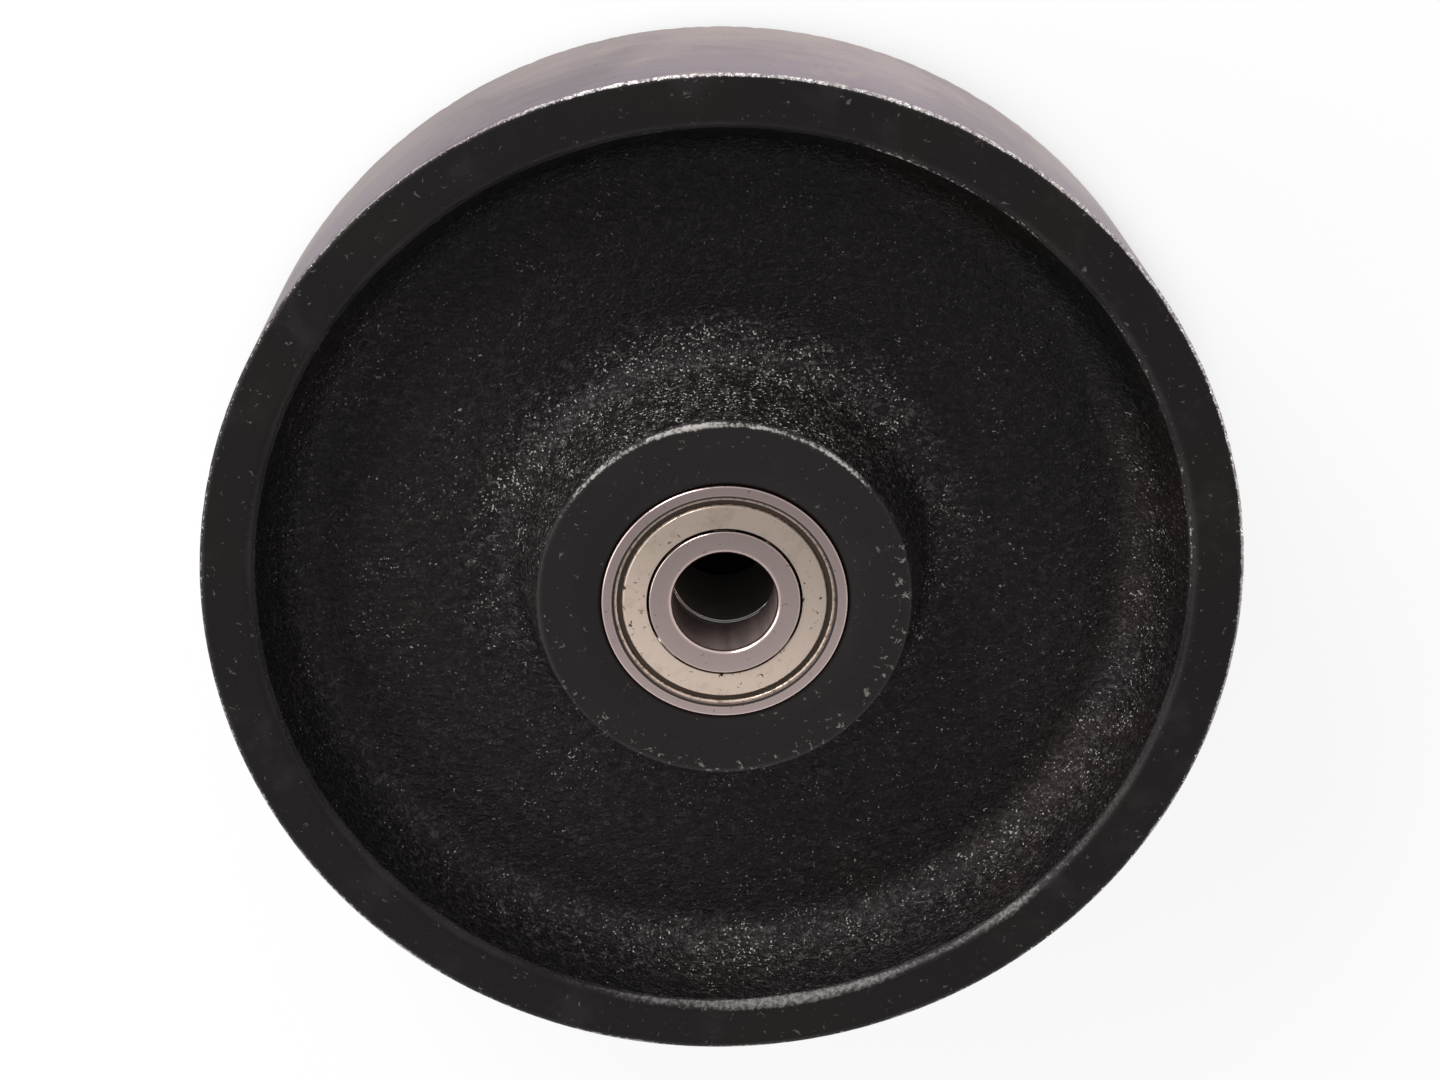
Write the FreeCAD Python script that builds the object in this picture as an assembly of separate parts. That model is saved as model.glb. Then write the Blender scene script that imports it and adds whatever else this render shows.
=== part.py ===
"""Plain-tread cast iron transport wheel on two shielded ball bearings, with a spacer sleeve.

Millimetres. The wheel turns about Z and its centre is the origin. The front bearing faces +Z.
Profiles are lists of (radius, height) corners, and a third value rounds that corner.
"""

import FreeCAD, Part
import math
import os

# Bearings: bore 20, outside 47, width 14
BEARING_BORE_RADIUS = 10.0
BEARING_OUTER_RADIUS = 23.5
BEARING_WIDTH = 14.0
BEARING_PROUD = 0.5
RING_CORNER = 1.0
RING_EDGE_ROUND = 0.3
PITCH_RADIUS = (BEARING_BORE_RADIUS + BEARING_OUTER_RADIUS) / 2
INNER_SHOULDER_RADIUS = PITCH_RADIUS - 2.35
OUTER_SHOULDER_RADIUS = PITCH_RADIUS + 2.65
BALL_COUNT = 8
BALL_RADIUS = 3.969
RACE_CLEARANCE = 0.02
RACE_CONFORMITY = 1.04

# Shields, one on each side of each bearing
SHIELD_SEAT_RADIUS = BEARING_OUTER_RADIUS - 2.35
SHIELD_UNDERCUT = 0.25
SHIELD_STEP_HEIGHT = BEARING_WIDTH / 2 - 1.7
SHIELD_TOP_HEIGHT = BEARING_WIDTH / 2 - 0.5
SHIELD_SHEET = 0.4
SHIELD_GAP = 0.5

# Riveted ribbon cage, in two halves
CAGE_WIDTH = 3.5
CAGE_SHEET = 0.8
POCKET_CLEARANCE = 0.1
RIVET_SHANK_RADIUS = 0.6
RIVET_HEAD_RADIUS = 1.1
RIVET_HEAD_HEIGHT = 0.5

# Wheel casting
TREAD_RADIUS = 100.0
TREAD_WIDTH = 50.0
TREAD_EDGE_CHAMFER = 0.3
RIM_INNER_RADIUS = TREAD_RADIUS - 10.0
RIM_LIP_CHAMFER = 1.1
RIM_DRAFT = 0.3
RIM_FILLET = 9.5
WEB_THICKNESS = 13.0
HUB_LENGTH = 59.0
HUB_RADIUS = BEARING_OUTER_RADIUS + 12.2
HUB_DRAFT = 0.19
HUB_EDGE_ROUND = 0.9
HUB_FILLET = 7.0
SEAT_SHOULDER = 3.5
SEAT_MOUTH_CHAMFER = 0.5

# Loose sleeve between the two inner rings, countersunk at both ends by a 60 degree lathe centre
SLEEVE_CLEARANCE = 0.7
SLEEVE_SIDE_PLAY = 0.6
SLEEVE_WALL = 2.9
SLEEVE_CHAMFER = 0.3
COUNTERSINK_DEPTH = 3.6
COUNTERSINK_SLOPE = math.tan(math.radians(30))

ORIGIN = FreeCAD.Vector(0, 0, 0)
ACROSS = FreeCAD.Vector(1, 0, 0)
AXIS = FreeCAD.Vector(0, 0, 1)
BEARING_HALF = BEARING_WIDTH / 2
BEARING_CENTRE_HEIGHT = HUB_LENGTH / 2 + BEARING_PROUD - BEARING_HALF
BEARING_BACK_HEIGHT = BEARING_CENTRE_HEIGHT - BEARING_HALF
STEP_ANGLE = 360 / BALL_COUNT


def corner_cut(before, corner, after, radius):
    """The points where a rounded corner starts, peaks and ends, or the corner itself if it is sharp."""
    if not radius:
        return corner, None, corner
    back = (before - corner).normalize()
    ahead = (after - corner).normalize()
    half = back.getAngle(ahead) / 2
    reach = radius / math.tan(half)
    peak = corner + (back + ahead).normalize() * (radius / math.sin(half) - radius)
    return corner + back * reach, peak, corner + ahead * reach


def outline(corners):
    """A closed wire in the X-Z plane through the corners, with tangent arcs where they ask for one."""
    points = [FreeCAD.Vector(corner[0], 0, corner[1]) for corner in corners]
    radii = [corner[2] if len(corner) > 2 else 0 for corner in corners]
    following = points[1:] + points[:1]
    cuts = [corner_cut(points[i - 1], points[i], following[i], radii[i]) for i in range(len(points))]
    edges = []
    for (start, peak, end), (next_start, _, _) in zip(cuts, cuts[1:] + cuts[:1]):
        if peak:
            edges.append(Part.Arc(start, peak, end).toShape())
        edges.append(Part.LineSegment(end, next_start).toShape())
    return Part.Wire(edges)


def turned(corners):
    """The solid that the outline sweeps in one turn about Z."""
    return Part.Face(outline(corners)).revolve(ORIGIN, AXIS, 360)


def both_sides(upper):
    """Corners of the upper half of a profile, then the same ones mirrored below, in one loop."""
    lower = [(corner[0], -corner[1], *corner[2:]) for corner in reversed(upper)]
    return upper + lower


def annulus(inner, outer, bottom, top):
    """A plain ring between two radii and two heights."""
    return turned([(inner, bottom), (outer, bottom), (outer, top), (inner, top)])


def around(shape, offset=0.0):
    """Copies of a shape turned about Z, one for each ball."""
    copies = []
    for index in range(BALL_COUNT):
        copy = shape.copy()
        copy.rotate(ORIGIN, AXIS, (index + offset) * STEP_ANGLE)
        copies.append(copy)
    return copies


def wheel_casting():
    """Tread, rim, web and hub in one casting, bored for a bearing at each end."""
    hub_top = HUB_LENGTH / 2
    rim_top = TREAD_WIDTH / 2
    web_top = WEB_THICKNESS / 2
    lip_bottom = rim_top - RIM_LIP_CHAMFER
    return turned(both_sides([
        (BEARING_OUTER_RADIUS - SEAT_SHOULDER, BEARING_BACK_HEIGHT),
        (BEARING_OUTER_RADIUS, BEARING_BACK_HEIGHT),
        (BEARING_OUTER_RADIUS, hub_top - SEAT_MOUTH_CHAMFER),
        (BEARING_OUTER_RADIUS + SEAT_MOUTH_CHAMFER, hub_top),
        (HUB_RADIUS, hub_top, HUB_EDGE_ROUND),
        (HUB_RADIUS + HUB_DRAFT * (hub_top - web_top), web_top, HUB_FILLET),
        (RIM_INNER_RADIUS - RIM_DRAFT * (lip_bottom - web_top), web_top, RIM_FILLET),
        (RIM_INNER_RADIUS, lip_bottom),
        (RIM_INNER_RADIUS + RIM_LIP_CHAMFER, rim_top),
        (TREAD_RADIUS - TREAD_EDGE_CHAMFER, rim_top),
        (TREAD_RADIUS, rim_top - TREAD_EDGE_CHAMFER),
    ]))


def spacer_sleeve():
    """The turned sleeve between the inner rings. Only the axle centres it, so it lies to one side."""
    bore = BEARING_BORE_RADIUS + SLEEVE_CLEARANCE
    outside = bore + SLEEVE_WALL
    sleeve = turned(both_sides([
        (bore, BEARING_BACK_HEIGHT - COUNTERSINK_DEPTH),
        (bore + COUNTERSINK_DEPTH * COUNTERSINK_SLOPE, BEARING_BACK_HEIGHT),
        (outside - SLEEVE_CHAMFER, BEARING_BACK_HEIGHT),
        (outside, BEARING_BACK_HEIGHT - SLEEVE_CHAMFER),
    ]))
    return sleeve.translated(ACROSS * SLEEVE_SIDE_PLAY)


def raceway(side):
    """The ring to cut away for a ball groove. The side is 1 in the outer ring and -1 in the inner."""
    groove_radius = BALL_RADIUS * RACE_CONFORMITY
    bottom = PITCH_RADIUS + side * (BALL_RADIUS + RACE_CLEARANCE)
    return Part.makeTorus(bottom - side * groove_radius, groove_radius)


def inner_ring():
    """Inner ring about its own middle plane."""
    blank = turned(both_sides([
        (BEARING_BORE_RADIUS, BEARING_HALF, RING_CORNER),
        (INNER_SHOULDER_RADIUS, BEARING_HALF, RING_EDGE_ROUND),
    ]))
    return blank.cut(raceway(-1))


def outer_ring():
    """Outer ring, with a step and an undercut at each end that hold the shields."""
    undercut_top = SHIELD_STEP_HEIGHT + 2 * SHIELD_SHEET
    blank = turned(both_sides([
        (OUTER_SHOULDER_RADIUS, SHIELD_STEP_HEIGHT),
        (SHIELD_SEAT_RADIUS + SHIELD_UNDERCUT, SHIELD_STEP_HEIGHT),
        (SHIELD_SEAT_RADIUS + SHIELD_UNDERCUT, undercut_top),
        (SHIELD_SEAT_RADIUS, undercut_top + SHIELD_UNDERCUT),
        (SHIELD_SEAT_RADIUS, BEARING_HALF, RING_EDGE_ROUND),
        (BEARING_OUTER_RADIUS, BEARING_HALF, RING_CORNER),
    ]))
    return blank.cut(raceway(1))


def shield():
    """Pressed sheet shield: a flat washer, a channel that rests on the ring's step and a rolled bead."""
    sheet = SHIELD_SHEET
    washer_inner = INNER_SHOULDER_RADIUS + SHIELD_GAP
    washer_outer = OUTER_SHOULDER_RADIUS - sheet / 4
    channel_floor = SHIELD_STEP_HEIGHT + sheet
    bead_top = SHIELD_TOP_HEIGHT - sheet / 4
    bead_outer = SHIELD_SEAT_RADIUS + SHIELD_UNDERCUT
    bead_inner = bead_outer - 2 * sheet
    return turned([
        (washer_inner, SHIELD_TOP_HEIGHT - sheet),
        (washer_outer - sheet, SHIELD_TOP_HEIGHT - sheet),
        (washer_outer, SHIELD_STEP_HEIGHT),
        (bead_outer, SHIELD_STEP_HEIGHT),
        (bead_outer, SHIELD_STEP_HEIGHT + 1.5 * sheet),
        (bead_outer - sheet, bead_top, sheet / 2),
        (bead_inner, bead_top, sheet / 2),
        (bead_inner - sheet / 2, channel_floor, sheet / 4),
        (washer_outer + sheet, channel_floor, sheet / 4),
        (washer_outer, SHIELD_TOP_HEIGHT, sheet),
        (washer_inner, SHIELD_TOP_HEIGHT),
    ])


def cage_half():
    """Upper half of the ribbon cage: a flat ring with a spherical pocket for each ball."""
    pocket_radius = BALL_RADIUS + POCKET_CLEARANCE
    dome_radius = pocket_radius + CAGE_SHEET
    inside = PITCH_RADIUS - CAGE_WIDTH / 2
    outside = PITCH_RADIUS + CAGE_WIDTH / 2
    middle = FreeCAD.Vector(PITCH_RADIUS, 0, 0)
    band = annulus(inside, outside, 0, dome_radius + CAGE_SHEET)
    flat = annulus(inside, outside, 0, CAGE_SHEET)
    dome = Part.makeSphere(dome_radius, middle).common(band)
    pocket = Part.makeSphere(pocket_radius, middle)
    hole = Part.makeCylinder(RIVET_SHANK_RADIUS, 2 * CAGE_SHEET, middle)
    return flat.fuse(around(dome)).cut(around(pocket) + around(hole, 0.5))


def rivet():
    """One cage rivet, halfway between two balls, with a rounded head on each side."""
    head_top = CAGE_SHEET + RIVET_HEAD_HEIGHT
    solid = turned(both_sides([
        (0, head_top),
        (RIVET_HEAD_RADIUS, head_top, 0.8 * RIVET_HEAD_HEIGHT),
        (RIVET_HEAD_RADIUS, CAGE_SHEET),
        (RIVET_SHANK_RADIUS, CAGE_SHEET),
    ]))
    return solid.translated(FreeCAD.Vector(PITCH_RADIUS, 0, 0))


def flipped(shape):
    """The shape turned over, half a turn about X."""
    return shape.rotated(ORIGIN, ACROSS, 180)


def bearing():
    """Every piece of one bearing about its middle plane, by name, with its outboard side up."""
    pieces = {
        "outer_ring": outer_ring(),
        "inner_ring": inner_ring(),
        "outboard_shield": shield(),
        "inboard_shield": flipped(shield()),
        "cage_outboard_half": cage_half(),
        "cage_inboard_half": flipped(cage_half()),
        "cage_rivets": Part.Compound(around(rivet(), 0.5)),
    }
    ball = Part.makeSphere(BALL_RADIUS, FreeCAD.Vector(PITCH_RADIUS, 0, 0))
    for index, placed in enumerate(around(ball)):
        pieces[f"ball_{index + 1}"] = placed
    return pieces


def wheel():
    """Every node of the wheel, by name."""
    nodes = {"wheel_casting": wheel_casting(), "spacer_sleeve": spacer_sleeve()}
    for piece, shape in bearing().items():
        placed = shape.translated(AXIS * BEARING_CENTRE_HEIGHT)
        nodes[f"front_{piece}"] = placed
        nodes[f"rear_{piece}"] = flipped(placed)
    return nodes


os.makedirs("parts", exist_ok=True)
for name, shape in wheel().items():
    shape.exportStep(f"parts/{name}.step")
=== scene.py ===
"""The finish of a cast iron transport wheel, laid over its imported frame.

Lengths are in metres. The wheel's axis is Z, and the front bearing faces +Z.
"""

import math
from collections import namedtuple

import bmesh
import bpy
from bpy.props import FloatProperty, FloatVectorProperty, IntProperty, PointerProperty
from mathutils import Matrix, Vector


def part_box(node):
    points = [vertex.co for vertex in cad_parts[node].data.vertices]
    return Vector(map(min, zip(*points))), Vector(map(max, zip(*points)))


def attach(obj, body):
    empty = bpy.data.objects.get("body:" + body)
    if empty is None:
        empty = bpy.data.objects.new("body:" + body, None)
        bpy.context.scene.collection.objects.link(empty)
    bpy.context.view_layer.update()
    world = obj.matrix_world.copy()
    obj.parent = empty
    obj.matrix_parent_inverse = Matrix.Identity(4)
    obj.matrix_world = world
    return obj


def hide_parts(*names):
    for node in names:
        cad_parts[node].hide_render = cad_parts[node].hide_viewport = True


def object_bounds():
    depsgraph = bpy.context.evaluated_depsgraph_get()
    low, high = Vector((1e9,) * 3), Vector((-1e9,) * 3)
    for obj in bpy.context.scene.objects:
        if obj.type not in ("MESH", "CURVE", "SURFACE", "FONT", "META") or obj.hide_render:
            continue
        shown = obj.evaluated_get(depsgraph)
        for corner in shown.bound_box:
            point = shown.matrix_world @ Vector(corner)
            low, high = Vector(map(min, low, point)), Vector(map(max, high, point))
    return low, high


bl_info = {
    "name": "Transport Wheel",
    "version": (1, 0, 0),
    "blender": (4, 5, 0),
    "location": "View3D > Sidebar > Wheel",
    "description": "Builds and finishes a cast iron transport wheel on two ball bearings",
    "category": "Object",
}

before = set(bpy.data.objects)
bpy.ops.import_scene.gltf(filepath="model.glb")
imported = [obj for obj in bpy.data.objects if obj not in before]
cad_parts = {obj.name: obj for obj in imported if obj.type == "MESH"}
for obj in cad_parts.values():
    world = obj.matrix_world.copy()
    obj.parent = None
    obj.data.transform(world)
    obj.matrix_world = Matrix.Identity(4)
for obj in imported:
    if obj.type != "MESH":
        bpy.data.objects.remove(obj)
CAD_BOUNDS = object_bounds()

MM = 0.001
TURN = 2 * math.pi
SIDES = ("front", "rear")


def top_of(node):
    """The highest point of a node above the wheel's middle plane."""
    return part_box(node)[1].z


def radius_of(node):
    """The largest radius of a node that is centred on the wheel's axis."""
    low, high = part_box(node)
    return (high.x - low.x) / 2


# Heights and radii that the frame gives
TREAD_RADIUS = radius_of("wheel_casting")
HUB_TOP = top_of("wheel_casting")
BEARING_TOP = top_of("front_outer_ring")
BEARING_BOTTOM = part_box("front_outer_ring")[0].z
BEARING_MIDDLE = (BEARING_TOP + BEARING_BOTTOM) / 2
BEARING_HALF = (BEARING_TOP - BEARING_BOTTOM) / 2
SEAT_RADIUS = radius_of("front_outer_ring")
INNER_SHOULDER = radius_of("front_inner_ring")
SLEEVE_RADIUS = radius_of("spacer_sleeve")
SLEEVE_TOP = top_of("spacer_sleeve")
SHIELD_TOP = top_of("front_outboard_shield") - BEARING_MIDDLE
SHIELD_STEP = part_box("front_outboard_shield")[0].z - BEARING_MIDDLE
SHIELD_RADIUS = radius_of("front_outboard_shield")
BALL_RADIUS = radius_of("front_ball_1")
PITCH_RADIUS = (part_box("front_ball_1")[0].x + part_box("front_ball_1")[1].x) / 2
BALL_COUNT = sum(1 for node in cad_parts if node.startswith("front_ball_"))

# Sizes inside the bearings, as the solids have them
AXLE_RADIUS = PITCH_RADIUS - 6.75 * MM
OUTER_SHOULDER = PITCH_RADIUS + 2.65 * MM
RACE_GAP = 0.02 * MM
RACE_CONFORMITY = 1.04
SHIELD_SHEET = 0.4 * MM
CAGE_SHEET = 0.8 * MM

# Steps around each kind of turned piece
INNER_RING_STEPS = 256
OUTER_RING_STEPS = 320
SHIELD_STEPS = 256
SLEEVE_STEPS = 192
RIVET_STEPS = 20


class WheelSizes(bpy.types.PropertyGroup):
    """Sizes of the wheel that its outer box does not give."""

    tread_width: FloatProperty(
        name="Tread width", description="Width of the rim over both faces",
        default=50 * MM, unit="LENGTH")
    rim_thickness: FloatProperty(
        name="Rim thickness", description="From the tread in to the top of the rim's inner wall",
        default=10 * MM, unit="LENGTH")
    web_thickness: FloatProperty(
        name="Web thickness", description="Thickness of the disc between rim and hub",
        default=13 * MM, unit="LENGTH")
    hub_wall: FloatProperty(
        name="Hub wall", description="From the bearing seat out to the hub's edge",
        default=12.2 * MM, unit="LENGTH")
    skin_depth: FloatProperty(
        name="Cast skin depth", description="Height of the lumps left by the sand mould",
        default=0.26 * MM, unit="LENGTH")
    burr_depth: FloatProperty(
        name="Burr depth", description="How far the machined edges are ragged",
        default=0.30 * MM, unit="LENGTH")
    crumb_count: IntProperty(
        name="Crumbs", description="Broken crumbs along each edge of the tread", default=900, min=0)
    crumb_size: FloatProperty(
        name="Crumb size", description="Half length of a usual crumb", default=0.20 * MM, unit="LENGTH")
    around: IntProperty(
        name="Steps around", description="Steps around the casting", default=464, min=32)


class WheelColours(bpy.types.PropertyGroup):
    """Colours of the wheel's finishes."""

    paint: FloatVectorProperty(
        name="Paint", description="Black paint on the casting", subtype="COLOR",
        size=4, default=(0.0075, 0.0066, 0.0068, 1.0))
    iron: FloatVectorProperty(
        name="Machined iron", description="Bare iron of the tread and the worn edges",
        subtype="COLOR", size=4, default=(0.235, 0.198, 0.222, 1.0))
    steel: FloatVectorProperty(
        name="Ring steel", description="Ground steel of the bearing rings",
        subtype="COLOR", size=4, default=(0.62, 0.49, 0.47, 1.0))
    shield: FloatVectorProperty(
        name="Shield", description="Plated sheet of the bearing shields", subtype="COLOR",
        size=4, default=(0.66, 0.53, 0.445, 1.0))
    grime: FloatVectorProperty(
        name="Grime", description="Old grease in corners and channels", subtype="COLOR",
        size=4, default=(0.040, 0.024, 0.014, 1.0))


class WheelStage(bpy.types.PropertyGroup):
    """Camera and lamps."""

    camera_tilt: FloatProperty(
        name="Camera tilt", description="Angle between the view and the wheel's axis",
        subtype="ANGLE", default=math.radians(20.48))
    camera_turn: FloatProperty(
        name="Camera turn", description="Direction of the tilt, from +Y towards -X",
        subtype="ANGLE", default=math.radians(3.985))
    camera_distance: FloatProperty(
        name="Camera distance", description="From the camera to the wheel's centre",
        default=0.5357, unit="LENGTH")
    lens: FloatProperty(name="Lens", description="Focal length in millimetres", default=66.785)
    key_power: FloatProperty(name="Key lamp", description="Power in watts", default=11.0)
    fill_power: FloatProperty(name="Fill lamp", description="Power in watts", default=4.0)
    ambient: FloatProperty(
        name="Ambient", description="Strength of the surrounding light", default=0.45)


# ---------------------------------------------------------------- node helpers

class Field:
    """A value that changes over a piece. Sums of fields are written as plain arithmetic."""

    def __init__(self, socket):
        self.socket = socket
        self.tree = socket.id_data

    def __add__(self, other):
        return maths("ADD", self, other)

    def __sub__(self, other):
        return maths("SUBTRACT", self, other)

    def __rsub__(self, other):
        return maths("SUBTRACT", other, self)

    def __mul__(self, other):
        return maths("MULTIPLY", self, other)

    def __truediv__(self, other):
        return maths("DIVIDE", self, other)

    def __rtruediv__(self, other):
        return maths("DIVIDE", other, self)

    __radd__ = __add__
    __rmul__ = __mul__

    def ramp(self, low, high, to_low=0.0, to_high=1.0):
        """A smooth step of the value between two limits."""
        inputs = dict(enumerate((self, low, high, to_low, to_high)))
        return field(self.tree, "ShaderNodeMapRange", inputs, interpolation_type="SMOOTHSTEP")


def feed(node, inputs):
    """Sets a node's inputs, found by name or number, to fields or plain values."""
    for key, value in inputs.items():
        if isinstance(value, Field):
            node.id_data.links.new(value.socket, node.inputs[key])
        else:
            node.inputs[key].default_value = value


def put(tree, kind, inputs=None, **properties):
    """Adds a node with its properties and its inputs."""
    node = tree.nodes.new(kind)
    for name, value in properties.items():
        setattr(node, name, value)
    feed(node, inputs or {})
    return node


def field(tree, kind, inputs=None, output=0, **properties):
    """One output of a new node."""
    return Field(put(tree, kind, inputs, **properties).outputs[output])


def outputs_of(node):
    """A node's outputs by name."""
    return {socket.name: Field(socket) for socket in node.outputs}


def maths(operation, *values, clamp=False):
    """The result of a sum on fields and plain numbers, with at least one field."""
    tree = next(value.tree for value in values if isinstance(value, Field))
    return field(tree, "ShaderNodeMath", dict(enumerate(values)), operation=operation, use_clamp=clamp)


def about(value, middle, gain):
    """How far a value lies from a middle one, times a gain."""
    return (value - middle) * gain


def parts(vector):
    """The three parts of a vector."""
    return [Field(socket) for socket in put(vector.tree, "ShaderNodeSeparateXYZ", {"Vector": vector}).outputs]


def joined(tree, **axes):
    """A vector from its parts, named X, Y and Z."""
    return field(tree, "ShaderNodeCombineXYZ", axes)


def from_axis(x, y):
    """Distance from the wheel's axis."""
    return maths("SQRT", x * x + y * y)


def noise(place, scale, detail=2.0, roughness=0.5, distortion=0.0):
    """Smooth noise between 0 and 1."""
    return field(place.tree, "ShaderNodeTexNoise", {
        "Vector": place, "Scale": scale, "Detail": detail, "Roughness": roughness, "Distortion": distortion})


def attribute(tree, name):
    """A surface value that a mesh carries."""
    return field(tree, "ShaderNodeAttribute", output="Fac", attribute_name=name)


def object_place(tree):
    """The place of a point on its piece, in metres."""
    return field(tree, "ShaderNodeTexCoord", output="Object")


def blend(factor, first, second):
    """Two colours mixed by a factor. Each is a field or a plain colour."""
    node = put(factor.tree, "ShaderNodeMix", data_type="RGBA", blend_type="MIX", clamp_factor=True)
    numbers = {socket.identifier: number for number, socket in enumerate(node.inputs)}
    colours = [value if isinstance(value, Field) else (*value, 1.0)[:4] for value in (first, second)]
    for name, value in zip(("Factor_Float", "A_Color", "B_Color"), (factor, *colours)):
        feed(node, {numbers[name]: value})
    return Field(next(socket for socket in node.outputs if socket.identifier == "Result_Color"))


def between(factor, first, second):
    """Two values mixed by a factor."""
    return field(factor.tree, "ShaderNodeMix", {0: factor, 2: first, 3: second})


def brightened(colour, value):
    """A colour made lighter or darker by a varying value."""
    return field(colour.tree, "ShaderNodeHueSaturation", {"Color": colour, "Value": value})


def new_group(name, kind, inputs, outputs, output_kind="Float"):
    """A node group, its inputs by name and its output node.

    Each input is given with its default number or its kind of socket.
    """
    tree = bpy.data.node_groups.new(name, kind)
    for label, given in inputs.items():
        numeric = isinstance(given, float)
        socket_type = "NodeSocket" + ("Float" if numeric else given)
        socket = tree.interface.new_socket(label, in_out="INPUT", socket_type=socket_type)
        if numeric:
            socket.default_value = given
    for label in outputs:
        tree.interface.new_socket(label, in_out="OUTPUT", socket_type="NodeSocket" + output_kind)
    return tree, outputs_of(tree.nodes.new("NodeGroupInput")), tree.nodes.new("NodeGroupOutput")


def use_group(tree, group, **values):
    """The outputs of a shader group that a material uses with its own values."""
    inputs = {key.replace("_", " "): value for key, value in values.items()}
    return outputs_of(put(tree, "ShaderNodeGroup", inputs, node_tree=group))


# ---------------------------------------------------------------- shared effects

def cast_grain_group():
    """Lumps and grit of a sand-cast skin: a height, a mask of painted glints and slow patches."""
    tree, given, made = new_group(
        "Cast Grain", "ShaderNodeTree",
        {"Lump Size": 1.4 * MM, "Grit Size": 0.45 * MM, "Specks": 0.5}, ("Height", "Specks", "Patches"))
    place = object_place(tree)
    stretched = field(tree, "ShaderNodeMapping", {"Vector": place, "Scale": (0.65, 1.0, 1.0)})
    lump_scale = 1.0 / given["Lump Size"]
    grit_scale = 1.0 / given["Grit Size"]
    lumps = noise(stretched, lump_scale, 3.0, 0.55, 0.9)
    grit = noise(place, grit_scale, 2.0, 0.6)
    glints = noise(place, grit_scale * 1.15, 1.0)
    cluster = noise(place, lump_scale * 0.30, 2.0, 0.6)
    patches = noise(place, 38.0)
    level = glints + (cluster * 0.33 + patches * 0.15) + given["Specks"] * 0.07
    feed(made, {"Height": lumps * 0.60 + grit * 0.40, "Specks": level.ramp(0.955, 1.065), "Patches": patches})
    return tree


def worn_edge_group():
    """Where paint or plating is rubbed off: a ragged mask that grows with the edge value."""
    tree, given, made = new_group(
        "Worn Edge", "ShaderNodeTree", {"Edge": 0.0, "Ragged Size": 1.2 * MM, "Reach": 0.5}, ("Bare",))
    place = object_place(tree)
    ragged = noise(place, 1.0 / given["Ragged Size"], 3.0, 0.65)
    slow = noise(place, 45.0)
    level = given["Edge"] + (ragged * 0.9 + slow * 0.9) + given["Reach"]
    feed(made, {"Bare": level.ramp(2.05, 2.30) * given["Edge"].ramp(0.02, 0.15)})
    return tree


def turned_marks_group():
    """Fine rings left by a lathe tool: a height and a tint."""
    tree, given, made = new_group(
        "Turned Marks", "ShaderNodeTree", {"Pitch": 0.25 * MM}, ("Height", "Tint"))
    x, y, z = parts(object_place(tree))
    scale = 1.0 / given["Pitch"]
    angle = maths("ABSOLUTE", maths("ARCTAN2", y, x))
    rings = noise(joined(tree, X=from_axis(x, y) * scale, Y=z * scale, Z=angle * 1.4), 1.0, 2.0, 0.6)
    feed(made, {"Height": rings, "Tint": rings.ramp(0.3, 0.7)})
    return tree


def grime_group():
    """Old grease and dust: a blotchy mask and small dark nicks."""
    tree, given, made = new_group(
        "Grime", "ShaderNodeTree",
        {"Blotch Size": 6 * MM, "Cover": 0.4, "Nick Size": 0.8 * MM, "Nicks": 0.3}, ("Blotches", "Nicks"))
    place = object_place(tree)
    blotch = noise(place, 1.0 / given["Blotch Size"], 5.0, 0.62)
    fleck = noise(place, 1.0 / given["Nick Size"], 4.0, 0.68, 0.5)
    feed(made, {"Blotches": (blotch + (given["Cover"] - 0.5)).ramp(0.45, 0.62),
                "Nicks": (fleck + given["Nicks"] * 0.1).ramp(0.675, 0.715)})
    return tree


# ---------------------------------------------------------------- materials

def new_material(name):
    """A material, its tree and its Principled node."""
    material = bpy.data.materials.new(name)
    material.use_nodes = True
    tree = material.node_tree
    return material, tree, tree.nodes["Principled BSDF"]


def bump(shader, height, strength, depth):
    """Feeds a height in units of depth to the shader's normal."""
    inputs = {"Height": height, "Strength": strength, "Distance": depth}
    feed(shader, {"Normal": field(height.tree, "ShaderNodeBump", inputs)})


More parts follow.
